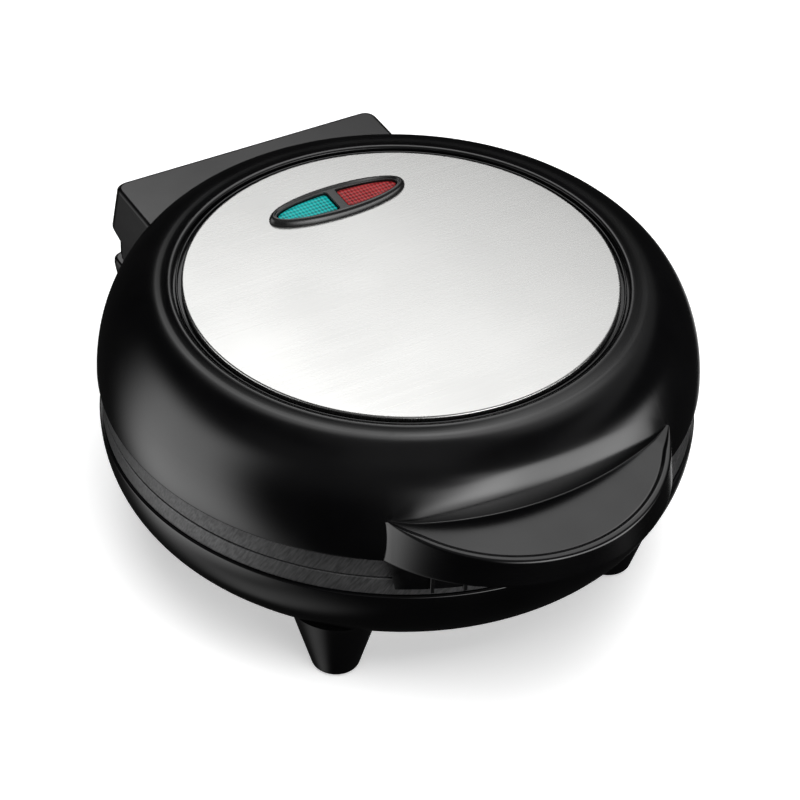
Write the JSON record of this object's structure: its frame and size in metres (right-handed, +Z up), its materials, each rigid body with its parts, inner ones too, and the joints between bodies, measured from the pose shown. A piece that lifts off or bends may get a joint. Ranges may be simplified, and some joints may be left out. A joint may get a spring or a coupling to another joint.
{
  "type": "omelette maker",
  "caption": "Round countertop omelette maker: domed lid with crescent handle hinged on a footed bowl base, pocketed heating plates between, oval indicator window in a steel disc.",
  "frame": {"origin": "on the table under the middle of the round plates, midway across and level with the bottom of the foot pads", "axes": "+Z up, +Y from the handle to the hinge, +X to the right of someone facing the handle"},
  "size_m": [0.2006, 0.2367, 0.1051],
  "materials": {
    "black_plastic": "satin black plastic, softly glossy",
    "frame_plastic": "black plastic",
    "rubber": "matt black rubber",
    "brushed_steel": "straight brushed stainless steel",
    "cast_plate": "die-cast aluminium with a dark non-stick coat",
    "element_steel": "heat-tinted steel tube",
    "sheet_aluminium": "plain aluminium sheet",
    "steel": "plated steel",
    "green_plastic": "clear green plastic",
    "red_plastic": "clear red plastic",
    "lamp_glass": "clear glass",
    "ceramic": "unglazed pale ceramic",
    "holder_plastic": "pale heat-resistant plastic"
  },
  "bodies": {
    "base": {"base_shell": "black_plastic", "foot_pad_front_left": "rubber", "foot_pad_front_right": "rubber", "foot_pad_rear_left": "rubber", "foot_pad_rear_right": "rubber", "lower_plate": "cast_plate", "lower_heating_element": "element_steel", "lower_reflector": "sheet_aluminium", "lower_plate_screw_1": "steel", "lower_plate_screw_2": "steel", "lower_plate_screw_3": "steel", "lower_plate_screw_4": "steel", "hinge_pin_left": "steel", "hinge_pin_right": "steel", "terminal_block": "ceramic"},
    "lid": {"lid_shell": "black_plastic", "steel_disc": "brushed_steel", "indicator_frame": "frame_plastic", "green_lens": "green_plastic", "red_lens": "red_plastic", "green_lamp": "lamp_glass", "red_lamp": "lamp_glass", "lamp_holder": "holder_plastic", "upper_plate": "cast_plate", "upper_heating_element": "element_steel", "upper_reflector": "sheet_aluminium", "upper_plate_screw_1": "steel", "upper_plate_screw_2": "steel", "upper_plate_screw_3": "steel", "upper_plate_screw_4": "steel", "thermostat": "ceramic", "thermal_fuse": "element_steel"}
  },
  "joints": [
    {"name": "lid_hinge", "type": "hinge", "parent": "base", "child": "lid", "pos_m": [0, 0.1095, 0.0557], "axis": [-1, 0, 0], "range_deg": [0, 95]}
  ]
}
